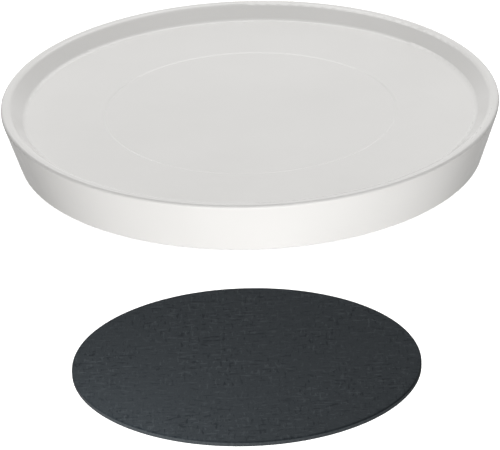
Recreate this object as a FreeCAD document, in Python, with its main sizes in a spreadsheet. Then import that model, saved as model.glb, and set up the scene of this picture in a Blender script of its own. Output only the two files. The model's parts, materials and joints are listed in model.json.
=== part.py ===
import FreeCAD, Part
import os
import re
import Sketcher
from FreeCAD import Vector

# A 12 inch lazy susan turntable and its loose 8 inch non-slip pad.
# The frame is in millimetres: the table top is z = 0, the tray spins about the Z axis,
# and the pad lies on the table in front of the tray, towards -Y.

# Driving sizes: alias, value, meaning. Lengths are in millimetres.
DRIVING = (
    ("rim_radius", 152.8, "outside of the tray's lip"),
    ("tray_height", 35.2, "table to the top of the lip"),
    ("lip_width", 5.7, "lip, before its edges are rounded"),
    ("lip_wall", 2.4, "thickness of the lip"),
    ("well_depth", 8.1, "lip down to the tray's floor"),
    ("well_run", 9.2, "level run of the well's sloping wall"),
    ("well_wall", 3.0, "well's sloping wall, measured level"),
    ("floor_wall", 2.4, "thickness of the tray's floor"),
    ("skirt_taper", 11.5, "how far the skirt leans in from the lip to its lower edge"),
    ("skirt_wall", 2.2, "thickness of the skirt, measured level"),
    ("skirt_gap", 1.2, "table to the skirt's lower edge"),
    ("rim_round", 1.8, "rounding of the lip's outer edge"),
    ("lip_round", 4.5, "soft rounding of the lip's inner edge"),
    ("well_round", 4.5, "rounding where the well's wall meets the floor"),
    ("hem_round", 0.7, "rounding of the skirt's lower edges"),
    ("dip_radius", 89.8, "shallow dip in the middle of the floor"),
    ("dip_edge", 1.2, "level run of the dip's sloping edge"),
    ("dip_depth", 0.3, "depth of the dip"),
    ("inner_ribs", 12, "ribs between the spigot and the track walls"),
    ("inner_rib_depth", 3.6, "how far they hang below the floor"),
    ("outer_ribs", 24, "ribs between the track walls and the skirt"),
    ("outer_rib_depth", 3.0, "how far they hang below the floor"),
    ("rib_wall", 1.8, "thickness of every rib"),
    ("ball_radius", 4.0, "steel balls"),
    ("ball_count", 12, "balls in the cage"),
    ("race_radius", 91.0, "circle that the balls run on"),
    ("race_land", 1.0, "race on each side of the ball's width"),
    ("race_bed", 1.0, "race below the bottom of its groove"),
    ("race_height", 3.0, "height of each race"),
    ("race_seat", 1.0, "depth of the base's channel for the lower race"),
    ("race_gap", 0.05, "running clearance between ball and groove"),
    ("track_wall", 2.0, "walls on each side of the upper race"),
    ("cage_wall", 1.6, "thickness of the cage"),
    ("cage_land", 1.2, "cage on each side of a ball's hole"),
    ("cage_gap", 0.08, "running clearance between ball and hole"),
    ("base_wall", 3.0, "thickness of the base's plate"),
    ("guard_wall", 1.8, "thickness of the base's upstanding edge"),
    ("guard_height", 5.0, "height of that edge above the plate"),
    ("base_ribs", 12, "ribs on the base's plate"),
    ("base_rib_height", 2.6, "height of those ribs"),
    ("foot_radius", 6.5, "rubber feet"),
    ("foot_height", 2.0, "how far the feet hold the base off the table"),
    ("foot_recess", 1.2, "depth of the feet's recesses"),
    ("foot_margin", 1.5, "plate on each side of a foot"),
    ("foot_count", 6, "feet"),
    ("foot_round", 0.6, "rounding of a foot's lower edge"),
    ("spigot_radius", 8.0, "tray's pivot spigot"),
    ("spigot_gap", 0.06, "running clearance between spigot and bush"),
    ("bush_wall", 2.4, "wall of the bush"),
    ("flange_wall", 1.2, "thickness of the bush's flange"),
    ("flange_width", 2.6, "flange beyond the bush's outside"),
    ("flange_gap", 1.2, "flange to the tray's inner ribs"),
    ("hub_wall", 2.4, "wall of the hub around its lower bore"),
    ("washer_wall", 1.2, "thickness of the retaining washer"),
    ("washer_grip", 1.7, "washer beyond the bush's outside"),
    ("washer_gap", 0.3, "washer to the hub's ledge above it"),
    ("washer_room", 0.4, "washer to the hub's lower bore"),
    ("screw_radius", 2.0, "screw's thread"),
    ("head_radius", 4.0, "screw's head"),
    ("head_height", 2.6, "height of the screw's head"),
    ("head_room", 2.0, "cap to the screw's head"),
    ("socket_radius", 1.5, "screw's hexagon socket, across its corners / 2"),
    ("socket_depth", 1.5, "depth of the socket"),
    ("cap_wall", 1.2, "thickness of the cap's plate"),
    ("cap_edge", 1.0, "cap's plate beyond the hub's lower bore"),
    ("cap_gap", 0.1, "clearance around the cap"),
    ("cap_ring", 2.3, "height of the cap's ring"),
    ("pad_radius", 101.6, "loose non-slip pad"),
    ("pad_wall", 3.2, "thickness of the pad"),
    ("pad_round", 0.4, "rounding of the pad's edges"),
    ("pad_gap", 44.6, "pad's edge to the tray's lip, along Y"),
    ("pad_side", 6.2, "pad's centre to the left of the spin axis"),
)

# Sizes worked out from the driving ones, from the table up and from the axis out.
WORKED_OUT = (
    ("base_under", "foot_height"),
    ("base_top", "base_under + base_wall"),
    ("guard_top", "base_top + guard_height"),
    ("lower_race_under", "base_top - race_seat"),
    ("lower_race_top", "lower_race_under + race_height"),
    ("ball_centre", "lower_race_under + race_bed + race_gap + ball_radius"),
    ("upper_race_top", "ball_centre + ball_radius + race_gap + race_bed"),
    ("upper_race_under", "upper_race_top - race_height"),
    ("floor_top", "tray_height - well_depth"),
    ("floor_under", "floor_top - floor_wall"),
    ("inner_rib_under", "floor_under - inner_rib_depth"),
    ("outer_rib_under", "floor_under - outer_rib_depth"),
    ("lip_under", "tray_height - lip_wall"),
    ("lip_inner", "rim_radius - lip_width"),
    ("floor_radius", "lip_inner - well_run"),
    ("skirt_foot", "rim_radius - skirt_taper"),
    ("skirt_slope", "skirt_taper / (tray_height - skirt_gap)"),
    ("well_slope", "well_run / well_depth"),
    ("race_half", "ball_radius + race_land"),
    ("race_inner", "race_radius - race_half"),
    ("race_outer", "race_radius + race_half"),
    ("cage_half", "ball_radius + cage_gap + cage_land"),
    ("foot_ring", "race_outer + foot_margin + foot_radius"),
    ("base_radius", "foot_ring + foot_radius + foot_margin"),
    ("bush_bore", "spigot_radius + spigot_gap"),
    ("bush_radius", "bush_bore + bush_wall"),
    ("washer_radius", "bush_radius + washer_grip"),
    ("hub_bore", "washer_radius + washer_room"),
    ("hub_radius", "hub_bore + hub_wall"),
    ("cap_seat", "hub_bore + cap_edge"),
    ("cap_top", "base_under + cap_wall"),
    ("head_under", "cap_top + head_room"),
    ("washer_under", "head_under + head_height"),
    ("spigot_under", "washer_under + washer_wall"),
    ("hub_ledge", "spigot_under + washer_gap"),
    ("hub_top", "inner_rib_under - flange_gap - flange_wall"),
    ("screw_hole_top", "floor_under - screw_radius"),
    ("screw_tip", "screw_hole_top - screw_radius / 2"),
    ("pad_x", "-pad_side"),
    ("pad_y", "-(rim_radius + pad_gap + pad_radius)"),
)

doc = FreeCAD.newDocument("LazySusan")
sheet = doc.addObject("Spreadsheet::Sheet", "Sizes")


def fill_sheet():
    """Writes the driving sizes as plain numbers and the worked-out ones as formulas."""
    for row, (alias, number, meaning) in enumerate(DRIVING, 1):
        sheet.set(f"A{row}", alias)
        sheet.set(f"B{row}", str(number))
        sheet.setAlias(f"B{row}", alias)
        sheet.set(f"C{row}", meaning)
    for row, (alias, formula) in enumerate(WORKED_OUT, len(DRIVING) + 2):
        sheet.set(f"A{row}", alias)
        sheet.set(f"B{row}", f"={formula}")
        sheet.setAlias(f"B{row}", alias)
    doc.recompute()


def size(expression):
    """The present value of an expression in the sheet's aliases."""
    return float(sheet.evalExpression(expression))


ALIASES = re.compile(r"\b(" + "|".join(row[0] for row in DRIVING + WORKED_OUT) + r")\b")


def bind(item, path, expression):
    """Ties a property, constraint or placement to an expression in the sheet's aliases."""
    item.setExpression(path, ALIASES.sub(r"Sizes.\1", expression))


def new_body(node):
    body = doc.addObject("PartDesign::Body", node)
    body.Label = node
    return body


def origin_item(body, role):
    """A plane or axis of the body's own origin."""
    return next(item for item in body.Origin.OriginFeatures if item.Role == role)


def new_sketch(body, name, plane):
    sketch = body.newObject("Sketcher::SketchObject", name)
    sketch.AttachmentSupport = [(origin_item(body, plane), "")]
    sketch.MapMode = "FlatFace"
    return sketch


def pin_point(sketch, line, end, across, up):
    """Holds a point of a sketch at two expressions, measured from the sketch's origin."""
    for direction, axis, expression in (("X", -2, across), ("Y", -1, up)):
        if expression == "0":
            sketch.addConstraint(Sketcher.Constraint("PointOnObject", line, end, axis))
            continue
        rule = Sketcher.Constraint(f"Distance{direction}", -1, 1, line, end, size(expression))
        number = sketch.addConstraint(rule)
        sketch.renameConstraint(number, f"at_{direction}_{line}_{end}")
        bind(sketch, f"Constraints.at_{direction}_{line}_{end}", expression)


def outline(body, name, points):
    """A closed outline of straight lines on the XZ plane; each point is (radius, height)."""
    sketch = new_sketch(body, name, "XZ_Plane")
    corners = [Vector(size(across), size(up), 0) for across, up in points]
    for number, corner in enumerate(corners):
        following = corners[(number + 1) % len(corners)]
        sketch.addGeometry(Part.LineSegment(corner, following), False)
    for number in range(len(corners)):
        following = (number + 1) % len(corners)
        sketch.addConstraint(Sketcher.Constraint("Coincident", number, 2, following, 1))
    for number, (across, up) in enumerate(points):
        pin_point(sketch, number, 1, across, up)
    return sketch


def box_outline(body, name, inner, outer, under, top):
    corners = ((inner, under), (outer, under), (outer, top), (inner, top))
    return outline(body, name, corners)


def disc_outline(body, name, plane, across, up, radius):
    """A circle on an origin plane, at two expressions from the sketch's origin."""
    sketch = new_sketch(body, name, plane)
    centre = Vector(size(across), size(up), 0)
    sketch.addGeometry(Part.Circle(centre, Vector(0, 0, 1), size(radius)), False)
    pin_point(sketch, 0, 3, across, up)
    number = sketch.addConstraint(Sketcher.Constraint("Radius", 0, size(radius)))
    sketch.renameConstraint(number, "radius")
    bind(sketch, "Constraints.radius", radius)
    return sketch


def finish_feature(body, feature, grows):
    """Recomputes and checks that the feature added or removed material as it should."""
    before = 0.0 if body.Shape.isNull() else body.Shape.Volume
    doc.recompute()
    change = feature.Shape.Volume - before
    if (change > 0) != grows or change == 0:
        raise RuntimeError(f"{body.Label}: {feature.Name} changed the volume by {change:.3f}")
    return feature


def revolve(body, name, sketch, cut=False):
    kind = "PartDesign::Groove" if cut else "PartDesign::Revolution"
    feature = body.newObject(kind, name)
    feature.Profile = sketch
    feature.ReferenceAxis = (sketch, ["V_Axis"])
    feature.Angle = 360
    return finish_feature(body, feature, not cut)


def turned(body, name, points, cut=False):
    return revolve(body, name, outline(body, f"{name}_outline", points), cut)


def around(body, feature, count, grows=True):
    """Repeats a feature evenly around the spin axis."""
    pattern = body.newObject("PartDesign::PolarPattern", f"{feature.Name}_pattern")
    pattern.Originals = [feature]
    pattern.Axis = (origin_item(body, "Z_Axis"), [""])
    pattern.Angle = 360
    bind(pattern, "Occurrences", count)
    body.Tip = pattern
    return finish_feature(body, pattern, grows)


def ribs(body, name, inner, outer, under, top, count):
    """Radial ribs: one rectangle on the XZ plane, thickened both ways and repeated."""
    rib = body.newObject("PartDesign::Pad", name)
    rib.Profile = box_outline(body, f"{name}_outline", inner, outer, under, top)
    rib.Midplane = True
    bind(rib, "Length", "rib_wall")
    finish_feature(body, rib, True)
    return around(body, rib, count)


def rounded(body, name, rings, radius):
    """Rounds the circular edges that lie at the given (radius, height) pairs."""
    base = body.Tip
    wanted = [(size(across), size(up)) for across, up in rings]
    edges = []
    for number, edge in enumerate(base.Shape.Edges, 1):
        if not isinstance(edge.Curve, Part.Circle) or abs(edge.Curve.Axis.z) < 0.99:
            continue
        ring = (edge.Curve.Radius, edge.Curve.Center.z)
        if any(max(abs(ring[0] - r), abs(ring[1] - z)) < 1e-4 for r, z in wanted):
            edges.append(f"Edge{number}")
    if len(edges) < len(wanted):
        raise RuntimeError(f"{body.Label}: {name} found {len(edges)} edges")
    fillet = body.newObject("PartDesign::Fillet", name)
    fillet.Base = (base, edges)
    bind(fillet, "Radius", radius)
    doc.recompute()
    return fillet


def place(item, x, y, z="0"):
    for axis, expression in (("x", x), ("y", y), ("z", z)):
        bind(item, f"Placement.Base.{axis}", expression)


def spoke(radius, number, count):
    """The x and y expressions of item number, counted around a circle."""
    turn = f"{number} * 360 / {count}"
    return f"{radius} * cos({turn})", f"{radius} * sin({turn})"


def make_tray():
    """One moulding: floor, sloping wall, lip, skirt, ribs, track walls and spigot."""
    body = new_body("tray")
    skirt_inner_up = "rim_radius - skirt_wall - lip_wall * skirt_slope"
    well_outer_up = "floor_radius + well_wall + (lip_under - floor_top) * well_slope"
    well_outer_down = "floor_radius + well_wall - floor_wall * well_slope"
    shell = (
        ("0", "floor_top"),
        ("floor_radius", "floor_top"),
        ("lip_inner", "tray_height"),
        ("rim_radius", "tray_height"),
        ("skirt_foot", "skirt_gap"),
        ("skirt_foot - skirt_wall", "skirt_gap"),
        (skirt_inner_up, "lip_under"),
        (well_outer_up, "lip_under"),
        (well_outer_down, "floor_under"),
        ("0", "floor_under"),
    )
    turned(body, "shell", shell)
    inner_wall = ("race_inner - track_wall", "race_inner", "upper_race_under", "floor_under")
    outer_wall = ("race_outer", "race_outer + track_wall", "upper_race_under", "floor_under")
    revolve(body, "inner_track", box_outline(body, "inner_track_outline", *inner_wall))
    revolve(body, "outer_track", box_outline(body, "outer_track_outline", *outer_wall))
    spigot = (
        ("screw_radius", "spigot_under"),
        ("spigot_radius", "spigot_under"),
        ("spigot_radius", "floor_under"),
        ("0", "floor_under"),
        ("0", "screw_hole_top"),
        ("screw_radius", "screw_hole_top"),
    )
    turned(body, "spigot", spigot)
    mid_floor = "floor_under + floor_wall / 2"
    inner = ("spigot_radius / 2", "race_inner - track_wall / 2")
    ribs(body, "inner_rib", *inner, "inner_rib_under", mid_floor, "inner_ribs")
    webs = ("race_inner - track_wall / 2", "race_outer + track_wall / 2")
    ribs(body, "race_web", *webs, "upper_race_top", mid_floor, "ball_count")
    skirt_at_rib = "skirt_foot + (outer_rib_under - skirt_gap) * skirt_slope - skirt_wall / 2"
    outer = ("race_outer + track_wall / 2", skirt_at_rib)
    ribs(body, "outer_rib", *outer, "outer_rib_under", mid_floor, "outer_ribs")
    dip = (
        ("0", "floor_top"),
        ("dip_radius", "floor_top"),
        ("dip_radius - dip_edge", "floor_top - dip_depth"),
        ("0", "floor_top - dip_depth"),
    )
    turned(body, "floor_dip", dip, cut=True)
    rounded(body, "rim_rounding", (("rim_radius", "tray_height"),), "rim_round")
    rounded(body, "lip_rounding", (("lip_inner", "tray_height"),), "lip_round")
    rounded(body, "well_rounding", (("floor_radius", "floor_top"),), "well_round")
    hem = (("skirt_foot", "skirt_gap"), ("skirt_foot - skirt_wall", "skirt_gap"))
    rounded(body, "hem_rounding", hem, "hem_round")


def make_race(node, under, top):
    """A flat ring with a round groove that the balls run in."""
    body = new_body(node)
    ring = box_outline(body, "ring_outline", "race_inner", "race_outer", under, top)
    revolve(body, "ring", ring)
    groove = ("race_radius", "ball_centre", "ball_radius + race_gap")
    groove_outline = disc_outline(body, "groove_outline", "XZ_Plane", *groove)
    revolve(body, "ball_groove", groove_outline, cut=True)


def make_cage():
    """A flat ring with a round hole for each ball."""
    body = new_body("ball_cage")
    radii = ("race_radius - cage_half", "race_radius + cage_half")
    levels = ("ball_centre - cage_wall / 2", "ball_centre + cage_wall / 2")
    revolve(body, "ring", box_outline(body, "ring_outline", *radii, *levels))
    hole = body.newObject("PartDesign::Pocket", "ball_hole")
    spot = ("race_radius", "0", "ball_radius + cage_gap")
    hole.Profile = disc_outline(body, "hole_outline", "XY_Plane", *spot)
    hole.Type = "ThroughAll"
    hole.Midplane = True
    finish_feature(body, hole, False)
    around(body, hole, "ball_count", grows=False)


def make_balls():
    for number in range(round(size("ball_count"))):
        ball = doc.addObject("Part::Sphere", f"ball_{number + 1:02d}")
        ball.Label = f"ball_{number + 1:02d}"
        bind(ball, "Radius", "ball_radius")
        place(ball, *spoke("race_radius", number, "ball_count"), "ball_centre")


def make_base():
    """Plate, upstanding edge, race channel, hub with its stepped bore, ribs and recesses."""
    body = new_body("base")
    plate = (
        ("cap_seat", "base_under"),
        ("base_radius", "base_under"),
        ("base_radius", "guard_top"),
        ("base_radius - guard_wall", "guard_top"),
        ("base_radius - guard_wall", "base_top"),
        ("race_outer", "base_top"),
        ("race_outer", "lower_race_under"),
        ("race_inner", "lower_race_under"),
        ("race_inner", "base_top"),
        ("hub_radius", "base_top"),
        ("hub_radius", "hub_top"),
        ("bush_radius", "hub_top"),
        ("bush_radius", "hub_ledge"),
        ("hub_bore", "hub_ledge"),
        ("hub_bore", "cap_top"),
        ("cap_seat", "cap_top"),
    )
    turned(body, "plate", plate)
    radii = ("hub_radius - hub_wall / 2", "race_inner - track_wall")
    levels = ("base_top - base_wall / 2", "base_top + base_rib_height")
    ribs(body, "base_rib", *radii, *levels, "base_ribs")
    recess = body.newObject("PartDesign::Pocket", "foot_recess")
    spot = ("foot_ring", "0", "foot_radius")
    recess.Profile = disc_outline(body, "recess_outline", "XY_Plane", *spot)
    recess.Reversed = True
    bind(recess, "Length", "base_under + foot_recess")
    finish_feature(body, recess, False)
    around(body, recess, "foot_count", grows=False)
    rounded(body, "edge_rounding", (("base_radius", "base_under"),), "foot_round")


def make_bush():
    body = new_body("centre_bush")
    flange_top = "hub_top + flange_wall"
    sleeve = (
        ("bush_bore", "hub_ledge"),
        ("bush_radius", "hub_ledge"),
        ("bush_radius", "hub_top"),
        ("bush_radius + flange_width", "hub_top"),
        ("bush_radius + flange_width", flange_top),
        ("bush_bore", flange_top),
    )
    turned(body, "sleeve", sleeve)


def make_washer():
    body = new_body("centre_washer")
    ring = ("screw_radius", "washer_radius", "washer_under", "spigot_under")
    revolve(body, "ring", box_outline(body, "ring_outline", *ring))


def make_screw():
    """Round-headed screw with a hexagon socket, driven up into the spigot."""
    body = new_body("centre_screw")
    shank = (
        ("0", "head_under"),
        ("head_radius", "head_under"),
        ("head_radius", "washer_under"),
        ("screw_radius", "washer_under"),
        ("screw_radius", "screw_tip - screw_radius"),
        ("0", "screw_tip"),
    )
    turned(body, "shank", shank)
    rounded(body, "head_rounding", (("head_radius", "head_under"),), "foot_round")
    socket = body.newObject("PartDesign::SubtractivePrism", "socket")
    socket.AttachmentSupport = [(origin_item(body, "XY_Plane"), "")]
    socket.MapMode = "FlatFace"
    socket.Polygon = 6
    bind(socket, "Circumradius", "socket_radius")
    bind(socket, "Height", "head_under + socket_depth")
    finish_feature(body, socket, False)


def make_cap():
    """Plate that fills the hub's mouth, with a ring that grips its bore."""
    body = new_body("centre_cap")
    ring_outer = "hub_bore - cap_gap"
    ring_inner = "hub_bore - cap_gap - cap_wall"
    plate = (
        ("0", "base_under"),
        ("cap_seat - cap_gap", "base_under"),
        ("cap_seat - cap_gap", "cap_top"),
        (ring_outer, "cap_top"),
        (ring_outer, "cap_top + cap_ring"),
        (ring_inner, "cap_top + cap_ring"),
        (ring_inner, "cap_top"),
        ("0", "cap_top"),
    )
    turned(body, "plate", plate)


def make_feet():
    for number in range(round(size("foot_count"))):
        body = new_body(f"foot_{number + 1}")
        foot = (
            ("0", "0"),
            ("foot_radius", "0"),
            ("foot_radius", "base_under + foot_recess"),
            ("0", "base_under + foot_recess"),
        )
        turned(body, "disc", foot)
        rounded(body, "foot_rounding", (("foot_radius", "0"),), "foot_round")
        place(body, *spoke("foot_ring", number, "foot_count"))


def make_pad():
    """A flat round pad, lying loose on the table in front of the tray."""
    body = new_body("pad")
    disc = (("0", "0"), ("pad_radius", "0"), ("pad_radius", "pad_wall"), ("0", "pad_wall"))
    turned(body, "disc", disc)
    edges = (("pad_radius", "0"), ("pad_radius", "pad_wall"))
    rounded(body, "pad_rounding", edges, "pad_round")
    place(body, "pad_x", "pad_y")


def failed_objects():
    return [item.Name for item in doc.Objects if {"Invalid", "Error"} & set(item.State)]


def sub_parts():
    """The bodies and balls: every object that is a piece of its own."""
    kinds = ("PartDesign::Body", "Part::Sphere")
    return [item for item in doc.Objects if item.TypeId in kinds]


def write_parts():
    doc.recompute()
    failed = failed_objects()
    if failed:
        raise RuntimeError(f"failed objects: {failed}")
    for piece in sub_parts():
        if piece.Shape.isNull() or not piece.Shape.isValid() or len(piece.Shape.Solids) != 1:
            raise RuntimeError(f"{piece.Label} isn't one valid solid")
    os.makedirs("parts", exist_ok=True)
    for piece in sub_parts():
        piece.Shape.exportStep(f"parts/{piece.Label}.step")
        print(f"{piece.Label}: {piece.Shape.Volume:.1f} mm3")


fill_sheet()
make_tray()
make_race("upper_race", "upper_race_under", "upper_race_top")
make_race("lower_race", "lower_race_under", "lower_race_top")
make_cage()
make_balls()
make_base()
make_bush()
make_washer()
make_screw()
make_cap()
make_feet()
make_pad()
write_parts()
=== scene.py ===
import json
import math

import bmesh
import bpy
from mathutils import Matrix, Vector, noise


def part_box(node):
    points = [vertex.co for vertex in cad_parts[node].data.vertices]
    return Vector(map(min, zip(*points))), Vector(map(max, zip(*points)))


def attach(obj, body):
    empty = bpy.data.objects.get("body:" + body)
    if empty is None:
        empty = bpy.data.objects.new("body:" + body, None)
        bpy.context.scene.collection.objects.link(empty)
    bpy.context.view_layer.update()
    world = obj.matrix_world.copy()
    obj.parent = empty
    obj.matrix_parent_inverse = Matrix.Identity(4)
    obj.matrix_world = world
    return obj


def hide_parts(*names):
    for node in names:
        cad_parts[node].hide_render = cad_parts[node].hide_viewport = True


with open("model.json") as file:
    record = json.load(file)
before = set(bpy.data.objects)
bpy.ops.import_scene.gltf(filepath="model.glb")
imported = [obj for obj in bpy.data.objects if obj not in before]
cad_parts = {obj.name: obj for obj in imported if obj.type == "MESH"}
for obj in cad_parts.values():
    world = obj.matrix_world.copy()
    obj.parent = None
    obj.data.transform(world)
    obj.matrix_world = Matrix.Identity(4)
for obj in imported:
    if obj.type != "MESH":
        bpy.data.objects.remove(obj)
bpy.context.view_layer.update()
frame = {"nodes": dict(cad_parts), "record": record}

MM = 0.001
nodes = frame["nodes"]

scene = bpy.context.scene
scene.view_settings.view_transform = "Standard"
scene.view_settings.look = "None"


# ---------------------------------------------------------------- node tree helpers

class Tree:
    """A node tree, with short ways to add and join nodes."""

    def __init__(self, tree):
        self.tree = tree

    def node(self, kind, **settings):
        made = self.tree.nodes.new(kind)
        for name, value in settings.items():
            setattr(made, name, value)
        return made

    def join(self, source, target):
        self.tree.links.new(source, target)

    def feed(self, socket, value):
        """Joins another node's output to the socket, or sets a constant on it."""
        if isinstance(value, bpy.types.NodeSocket):
            self.join(value, socket)
        else:
            socket.default_value = value

    def math(self, operation, first, second=0.0):
        made = self.node("ShaderNodeMath", operation=operation)
        self.feed(made.inputs[0], first)
        self.feed(made.inputs[1], second)
        return made.outputs[0]

    def mapped(self, value, start, end, low, high, **settings):
        """Maps start..end to low..high, and holds the ends beyond."""
        made = self.node("ShaderNodeMapRange", **settings)
        for name, number in (("From Min", start), ("From Max", end), ("To Min", low), ("To Max", high)):
            made.inputs[name].default_value = number
        self.join(value, made.inputs["Value"])
        return made.outputs[0]


class Shader(Tree):
    """A material with a Principled shader."""

    def __init__(self, name):
        self.material = bpy.data.materials.new(name)
        self.material.use_nodes = True
        super().__init__(self.material.node_tree)
        self.bsdf = self.tree.nodes["Principled BSDF"]
        self.spot = self.node("ShaderNodeTexCoord").outputs["Object"]

    def plain(self, **sockets):
        """Sets constants on the Principled shader's own sockets."""
        for name, value in sockets.items():
            self.bsdf.inputs[name.replace("_", " ")].default_value = value

    def axes(self):
        """The object's own X, Y and Z, in metres."""
        split = self.node("ShaderNodeSeparateXYZ")
        self.join(self.spot, split.inputs[0])
        return split.outputs

    def stretched(self, scale):
        """The object's own coordinates, in metres, scaled along each axis."""
        made = self.node("ShaderNodeMapping")
        made.inputs["Scale"].default_value = scale
        self.join(self.spot, made.inputs["Vector"])
        return made.outputs[0]

    def noise(self, per_metre, detail=2.0, roughness=0.5, vector=None):
        made = self.node("ShaderNodeTexNoise")
        made.inputs["Scale"].default_value = per_metre
        made.inputs["Detail"].default_value = detail
        made.inputs["Roughness"].default_value = roughness
        self.join(vector or self.spot, made.inputs["Vector"])
        return made.outputs["Fac"]

    def spread(self, value, low, high, start=0.3, end=0.7):
        """Maps start..end, by default a noise's middle range, to low..high."""
        return self.mapped(value, start, end, low, high)

    def mixed(self, factor, dark, light):
        made = self.node("ShaderNodeMix", data_type="RGBA")
        self.feed(made.inputs["Factor"], factor)
        self.feed(made.inputs["A"], dark)
        self.feed(made.inputs["B"], light)
        return made.outputs["Result"]

    def colour(self, value):
        self.join(value, self.bsdf.inputs["Base Color"])

    def rough(self, value):
        self.join(value, self.bsdf.inputs["Roughness"])

    def bump(self, height, depth, strength):
        """Raises the surface by up to the given depth in metres."""
        made = self.node("ShaderNodeBump")
        made.inputs["Strength"].default_value = strength
        made.inputs["Distance"].default_value = depth
        self.join(height, made.inputs["Height"])
        self.join(made.outputs["Normal"], self.bsdf.inputs["Normal"])


def rgb(red, green, blue):
    return (red, green, blue, 1.0)


# ---------------------------------------------------------------- materials

def moulded_white():
    """The tray: satin moulded plastic, with clouding, patchy gloss and soft unevenness."""
    s = Shader("moulded_white")
    s.plain(IOR=1.49, Specular_IOR_Level=0.5)
    cloud = s.noise(14.0, detail=3.0)
    s.colour(s.mixed(s.spread(cloud, 0.0, 1.0), rgb(0.775, 0.768, 0.752), rgb(0.800, 0.793, 0.778)))
    s.rough(s.spread(s.noise(90.0, detail=5.0, roughness=0.6), 0.18, 0.26))
    s.bump(s.noise(22.0, detail=1.0), depth=0.10 * MM, strength=0.5)
    return s.material


def moulded_base():
    """The base and its cap: the same plastic with a coarser, duller mould grain."""
    s = Shader("moulded_base")
    s.plain(IOR=1.49, Specular_IOR_Level=0.45)
    cloud = s.noise(30.0, detail=3.0)
    s.colour(s.mixed(s.spread(cloud, 0.0, 1.0), rgb(0.70, 0.70, 0.69), rgb(0.76, 0.76, 0.75)))
    s.rough(s.spread(s.noise(240.0, detail=3.0), 0.48, 0.62))
    s.bump(s.noise(1800.0, detail=3.0), depth=0.05 * MM, strength=0.7)
    return s.material


STREAKS_PER_RADIAN = 3.0


def turned_grain(s, rings_per_metre):
    """Noise drawn out around the spin axis, as turning and brushing leave it."""
    x, y, z = s.axes()
    radius = s.math("SQRT", s.math("ADD", s.math("POWER", x, 2.0), s.math("POWER", y, 2.0)))
    joined = s.node("ShaderNodeCombineXYZ")
    s.join(s.math("MULTIPLY", radius, rings_per_metre), joined.inputs["X"])
    s.join(s.math("MULTIPLY", s.math("ARCTAN2", y, x), STREAKS_PER_RADIAN), joined.inputs["Y"])
    s.join(s.math("MULTIPLY", z, rings_per_metre), joined.inputs["Z"])
    return s.noise(1.0, detail=4.0, vector=joined.outputs[0])


def race_steel():
    """The races: pressed steel, polished around by the balls."""
    s = Shader("race_steel")
    s.plain(Metallic=1.0)
    grain = turned_grain(s, 3500.0)
    s.colour(s.mixed(s.spread(grain, 0.0, 1.0), rgb(0.50, 0.50, 0.51), rgb(0.66, 0.66, 0.67)))
    s.rough(s.spread(grain, 0.24, 0.40))
    s.bump(grain, depth=0.02 * MM, strength=0.6)
    return s.material


def ball_steel():
    """The balls: polished steel with smears of grease."""
    s = Shader("ball_steel")
    s.plain(Metallic=1.0)
    smears = s.noise(600.0, detail=4.0)
    s.colour(s.mixed(s.spread(smears, 0.0, 1.0), rgb(0.70, 0.70, 0.71), rgb(0.80, 0.80, 0.81)))
    s.rough(s.spread(smears, 0.06, 0.14))
    return s.material


def cage_plastic():
    """The ball cage: natural, slightly cloudy plastic."""
    s = Shader("cage_plastic")
    s.plain(IOR=1.5)
    cloud = s.noise(60.0, detail=3.0)
    s.colour(s.mixed(s.spread(cloud, 0.0, 1.0), rgb(0.60, 0.62, 0.60), rgb(0.70, 0.71, 0.69)))
    s.rough(s.spread(s.noise(400.0), 0.40, 0.52))
    s.bump(s.noise(2200.0, detail=2.0), depth=0.03 * MM, strength=0.5)
    return s.material


def bush_plastic():
    """The bush: cream low-friction plastic, turned on its bearing faces."""
    s = Shader("bush_plastic")
    s.plain(IOR=1.48)
    grain = turned_grain(s, 2500.0)
    s.colour(s.mixed(s.spread(grain, 0.0, 1.0), rgb(0.80, 0.77, 0.69), rgb(0.86, 0.84, 0.77)))
    s.rough(s.spread(grain, 0.30, 0.42))
    s.bump(grain, depth=0.01 * MM, strength=0.5)
    return s.material


def zinc_steel():
    """The screw and its washer: mottled bright zinc."""
    s = Shader("zinc_steel")
    s.plain(Metallic=1.0)
    mottle = s.noise(900.0, detail=4.0)
    s.colour(s.mixed(s.spread(mottle, 0.0, 1.0), rgb(0.55, 0.57, 0.60), rgb(0.70, 0.71, 0.70)))
    s.rough(s.spread(s.noise(500.0, detail=3.0), 0.22, 0.38))
    return s.material


def foot_rubber():
    """The feet: matt black rubber with dust in its pores."""
    s = Shader("foot_rubber")
    s.plain(IOR=1.52, Specular_IOR_Level=0.35)
    dust = s.noise(700.0, detail=5.0, roughness=0.65)
    dusty = s.spread(dust, 0.0, 1.0, 0.45, 0.8)
    s.colour(s.mixed(dusty, rgb(0.035, 0.035, 0.036), rgb(0.085, 0.083, 0.080)))
    s.rough(s.spread(dust, 0.62, 0.82))
    s.bump(s.noise(2500.0, detail=2.0), depth=0.04 * MM, strength=0.6)
    return s.material


CORE_TOP = 2.2 * MM         # rubber below this height, cloth above
FACE_BLEND = 0.2 * MM
THREAD_BLEND = 0.08         # how much of the noise a thread's soft side takes


def threads(s, per_metre, sunk_below, raised_above):
    """How far short threads stand up, and how far they sink, with their noise stretched along one way."""
    run = s.noise(1.0, vector=s.stretched(per_metre))
    raised = s.spread(run, 0.0, 1.0, raised_above, raised_above + THREAD_BLEND)
    sunk = s.spread(run, 1.0, 0.0, sunk_below, sunk_below + THREAD_BLEND)
    return raised, sunk


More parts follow.
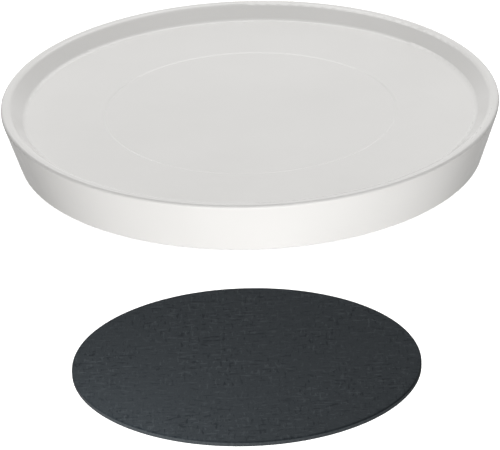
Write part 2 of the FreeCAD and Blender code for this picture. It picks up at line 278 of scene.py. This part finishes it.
def slate_pad():
    """The pad: a matt cloth face, with short raised and sunk threads, on a core of grey rubber."""
    s = Shader("slate_pad")
    s.plain(IOR=1.45, Specular_IOR_Level=0.1, Sheen_Weight=0.02, Sheen_Roughness=0.6)
    weft_raised, weft_sunk = threads(s, (150.0, 420.0, 900.0), sunk_below=0.32, raised_above=0.60)
    warp_raised, warp_sunk = threads(s, (600.0, 130.0, 900.0), sunk_below=0.31, raised_above=0.61)
    raised = s.math("MAXIMUM", weft_raised, warp_raised)
    sunk = s.math("MAXIMUM", weft_sunk, warp_sunk)
    patches = s.spread(s.noise(22.0, detail=3.0), 0.35, 1.0, 0.36, 0.60)
    marks = s.math("MULTIPLY", s.math("SUBTRACT", raised, sunk), patches)
    fibres = s.spread(s.noise(1400.0, detail=3.0, roughness=0.7), -0.25, 0.25)
    thread_relief_and_painted_shade = s.spread(s.math("ADD", marks, fibres), 0.0, 1.0, -1.0, 1.0)
    # The cloth colour follows thread height: painted shade on sunk threads and painted highlight on raised
    # ones, over random fibre tone.
    cloth = s.mixed(thread_relief_and_painted_shade, rgb(0.0075, 0.0103, 0.0130), rgb(0.0262, 0.0318, 0.0362))
    pebbles = s.noise(900.0, detail=2.0)
    rubber = s.mixed(s.spread(pebbles, 0.0, 1.0), rgb(0.038, 0.044, 0.048), rgb(0.058, 0.065, 0.071))
    on_face = s.spread(s.axes()["Z"], 0.0, 1.0, CORE_TOP, CORE_TOP + FACE_BLEND)
    s.colour(s.mixed(on_face, rubber, cloth))
    s.rough(s.spread(thread_relief_and_painted_shade, 0.92, 0.78))
    s.bump(thread_relief_and_painted_shade, depth=0.20 * MM, strength=0.7)
    return s.material


MATERIALS = (moulded_white, moulded_base, race_steel, ball_steel, cage_plastic, bush_plastic, zinc_steel,
             foot_rubber, slate_pad)
made_materials = {make.__name__: make() for make in MATERIALS}


def dress_nodes():
    """Gives every CAD node the procedural material of its record slot."""
    for part in frame["record"]["subparts"]:
        for slot in nodes[part["node"]].material_slots:
            slot.material = made_materials[part["material_slot"]]


# ---------------------------------------------------------------- the pad

PAD_TURNS = 288
PAD_RINGS = 48
RING_SPACING = 0.9          # below 1, the rings crowd towards the edge
NOSE_STEPS = 8
TOP_NOSE = 1.0 * MM         # rounding of the soft upper edge
LOWER_NOSE = 0.35 * MM      # rounding of the crisp lower edge
PAD_WAVE = 0.08 * MM        # how far the face sinks between its waves
WAVES_PER_METRE = 22.0
WAVE_SLICE = 7.0            # which slice of the noise the waves are read from
PAD_CUT = 0.10 * MM         # how far the cut edge wanders inwards
CUTS_PER_METRE = 120.0
CUT_SLICE = 3.0
CUT_START = 0.97            # share of the radius where the cut's unevenness begins


def quarter_arc(radius, half, nose, sign):
    """Points from the flat face round to the side, as (distance from the axis, height)."""
    points = []
    for step in range(NOSE_STEPS + 1):
        turn = math.pi / 2 * step / NOSE_STEPS
        out = radius - nose + nose * math.sin(turn)
        points.append((out, sign * (half - nose + nose * math.cos(turn))))
    return points


def pad_profile(radius, half):
    """The pad's half section, from just off the axis on top round to the same place below."""
    inner = radius - TOP_NOSE
    flat = [inner * (ring / PAD_RINGS) ** RING_SPACING for ring in range(1, PAD_RINGS)]
    top = [(out, half) for out in flat] + quarter_arc(radius, half, TOP_NOSE, 1)
    under = [(out, -half) for out in flat] + quarter_arc(radius, half, LOWER_NOSE, -1)
    return top + under[::-1]


def soft_place(out, height, turn, radius):
    """A point of the pad, with the slight waves of soft sheet and of its cut edge."""
    x, y = out * math.cos(turn), out * math.sin(turn)
    wave = noise.noise(Vector((x * WAVES_PER_METRE, y * WAVES_PER_METRE, WAVE_SLICE)))
    cut = noise.noise(Vector((x * CUTS_PER_METRE, y * CUTS_PER_METRE, CUT_SLICE)))
    at_edge = max(0.0, out / radius - CUT_START) / (1.0 - CUT_START)
    shrink = 1.0 - PAD_CUT * (0.5 + 0.5 * cut) * at_edge / radius
    sink = PAD_WAVE * (0.5 + 0.5 * wave) if height > 0 else 0.0
    return Vector((x * shrink, y * shrink, height - sink))


def make_pad():
    """A soft round sheet: rounded upper edge, crisp lower edge, slightly uneven face."""
    low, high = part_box("pad")
    centre = (low + high) / 2
    radius = (high.x - low.x) / 2
    half = (high.z - low.z) / 2
    mesh = bmesh.new()
    loops = []
    for out, height in pad_profile(radius, half):
        turns = [2 * math.pi * step / PAD_TURNS for step in range(PAD_TURNS)]
        loops.append([mesh.verts.new(soft_place(out, height, turn, radius)) for turn in turns])
    top = mesh.verts.new((0, 0, half - PAD_WAVE / 2))
    bottom = mesh.verts.new((0, 0, -half))
    for step in range(PAD_TURNS):
        following = (step + 1) % PAD_TURNS
        mesh.faces.new((top, loops[0][step], loops[0][following]))
        mesh.faces.new((bottom, loops[-1][following], loops[-1][step]))
        for inner, outer in zip(loops, loops[1:]):
            mesh.faces.new((inner[step], outer[step], outer[following], inner[following]))
    data = bpy.data.meshes.new("pad_cloth")
    mesh.normal_update()
    mesh.to_mesh(data)
    mesh.free()
    data.shade_smooth()
    data.transform(Matrix.Translation(centre))
    pad = bpy.data.objects.new("pad_cloth", data)
    scene.collection.objects.link(pad)
    data.materials.append(made_materials["slate_pad"])
    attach(pad, "pad")
    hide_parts("pad")
    # It lies close in front of the tray, and would otherwise shade the glow that lights the skirt.
    pad.visible_diffuse = False
    pad.visible_glossy = False
    pad.visible_shadow = False
    return pad


# ---------------------------------------------------------------- stage, light, camera

FLOOR_REACH = 6.0
FLOOR_DROP = 0.1 * MM       # keeps the floor out of the plane of the feet and the pad


def make_floor():
    """The pale table, which the camera sees and the part doesn't."""
    data = bpy.data.meshes.new("floor")
    signs = ((-1, -1), (1, -1), (1, 1), (-1, 1))
    corners = [(x * FLOOR_REACH, y * FLOOR_REACH, -FLOOR_DROP) for x, y in signs]
    data.from_pydata(corners, [], [(0, 1, 2, 3)])
    floor = bpy.data.objects.new("floor", data)
    scene.collection.objects.link(floor)
    s = Shader("studio_floor")
    s.plain(Base_Color=rgb(0.93, 0.93, 0.925), Roughness=0.9, Specular_IOR_Level=0.1)
    data.materials.append(s.material)
    # The camera sees the floor; the light it would throw back comes from the world's lower half.
    floor.visible_diffuse = False
    floor.visible_glossy = False
    floor.visible_shadow = False
    return floor


class WorldTree(Tree):
    """The studio's world: how bright it is in each direction."""

    def __init__(self):
        scene.world = bpy.data.worlds.new("studio")
        scene.world.use_nodes = True
        super().__init__(scene.world.node_tree)
        self.background = self.tree.nodes["Background"]
        split = self.node("ShaderNodeSeparateXYZ")
        self.join(self.node("ShaderNodeTexCoord").outputs["Generated"], split.inputs[0])
        self.x, self.y, self.z = split.outputs
        self.in_gloss = self.node("ShaderNodeLightPath").outputs["Is Glossy Ray"]

    def ramp(self, value, start, end, low, high):
        return self.mapped(value, start, end, low, high, interpolation_type="SMOOTHSTEP")


# The upper half: how bright it is at the horizon and from HIGH upwards, where 1 is straight up.
HORIZON = 1.08
ZENITH = 0.74
HIGH = 0.806
SIDE_START = 0.3            # the upper half fades out towards the sides from here
# The lower half: a sweep in front, which fades out from SWEEP_LOW up to SWEEP_HIGH, and a weak glow behind.
SWEEP = 13.3
SWEEP_FOCUS = 3.38
SWEEP_LOW = -0.509
SWEEP_HIGH = -0.264
SWEEP_IN_GLOSS = 0.12       # what is left of the sweep in reflections
BEHIND = 0.5
BEHIND_START = 0.6
BEHIND_FULL = 0.95
HORIZON_EDGE = -0.02        # the halves blend from here up to the horizon
SOFT_WHITE = rgb(1.0, 0.995, 0.99)


def make_world():
    """Soft light from above and behind; from below, the glow of a bright sweep in front."""
    w = WorldTree()
    above = w.ramp(w.z, 0.0, HIGH, HORIZON, ZENITH)
    above = w.math("MULTIPLY", above, w.ramp(w.math("ABSOLUTE", w.x), SIDE_START, 1.0, 1.0, 0.0))
    above = w.math("MULTIPLY", above, w.ramp(w.z, HORIZON_EDGE, 0.0, 0.0, 1.0))
    ahead = w.math("MAXIMUM", w.math("MULTIPLY", w.y, -1.0), 0.0)
    below = w.math("MULTIPLY", w.math("POWER", ahead, SWEEP_FOCUS), SWEEP)
    below = w.math("MULTIPLY", below, w.ramp(w.z, SWEEP_LOW, SWEEP_HIGH, 1.0, 0.0))
    below = w.math("MULTIPLY", below, w.ramp(w.in_gloss, 0.0, 1.0, 1.0, SWEEP_IN_GLOSS))
    behind = w.ramp(w.y, BEHIND_START, BEHIND_FULL, 0.0, BEHIND)
    behind = w.math("MULTIPLY", behind, w.ramp(w.z, HORIZON_EDGE, 0.0, 1.0, 0.0))
    strength = w.math("ADD", above, w.math("ADD", below, behind))
    w.feed(w.background.inputs["Strength"], strength)
    w.background.inputs["Color"].default_value = SOFT_WHITE


def area_light(name, place, aim, size, power):
    """A rectangular lamp of size (width, depth) in metres and power in watts, turned to a point."""
    light = bpy.data.lights.new(name, "AREA")
    light.shape = "RECTANGLE"
    light.size, light.size_y = size
    light.energy = power
    lamp = bpy.data.objects.new(name, light)
    lamp.location = place
    lamp.rotation_euler = (Vector(aim) - Vector(place)).to_track_quat("-Z", "Y").to_euler()
    scene.collection.objects.link(lamp)
    return lamp


def linked_to(lamp, receiver):
    """Lets a lamp light only this object."""
    group = bpy.data.collections.new(f"{lamp.name}_receiver")
    group.objects.link(receiver)
    lamp.light_linking.receiver_collection = group


def make_lights(floor, pad):
    """A large soft key behind, an even wash that keeps the floor pale, and a small fill on the pad."""
    centre = (0, 0, 0)
    area_light("high_back", place=(-0.04, 1.20, 1.72), aim=centre, size=(2.0, 1.1), power=15.9)
    wash = area_light("floor_wash", place=(0, 0, 3.0), aim=centre, size=(3.0, 3.0), power=110.0)
    wash.data.use_shadow = False
    linked_to(wash, floor)
    upper_left = (-0.08, -0.34, 0)
    fill = area_light("pad_fill", place=(-0.15, -0.44, 0.15), aim=upper_left, size=(0.1, 0.1), power=0.55)
    linked_to(fill, pad)


CAMERA_ELEVATION = math.radians(25.2)
CAMERA_ROLL = math.radians(-1.6)
CAMERA_DISTANCE = 5.286
# How far the camera is moved off the line to the origin, in its own picture plane.
CAMERA_DOWN = 0.0444
CAMERA_LEFT = 0.00077


def make_camera():
    """A long lens a little above the table, tipped very slightly to one side."""
    level = Vector((1, 0, 0))
    upright = Vector((0, math.sin(CAMERA_ELEVATION), math.cos(CAMERA_ELEVATION)))
    back = Vector((0, -math.cos(CAMERA_ELEVATION), math.sin(CAMERA_ELEVATION)))
    right = level * math.cos(CAMERA_ROLL) + upright * math.sin(CAMERA_ROLL)
    up = upright * math.cos(CAMERA_ROLL) - level * math.sin(CAMERA_ROLL)
    data = bpy.data.cameras.new("camera")
    data.sensor_width = 36.0
    data.lens = 622.2
    data.clip_start, data.clip_end = 0.1, 60.0
    camera = bpy.data.objects.new("camera", data)
    scene.collection.objects.link(camera)
    place = back * CAMERA_DISTANCE - right * CAMERA_LEFT - up * CAMERA_DOWN
    turn = Matrix((right, up, back)).transposed().to_4x4()
    camera.matrix_world = Matrix.Translation(place) @ turn
    scene.camera = camera


make_camera()
make_world()
dress_nodes()
make_lights(make_floor(), make_pad())

bpy.context.view_layer.update()
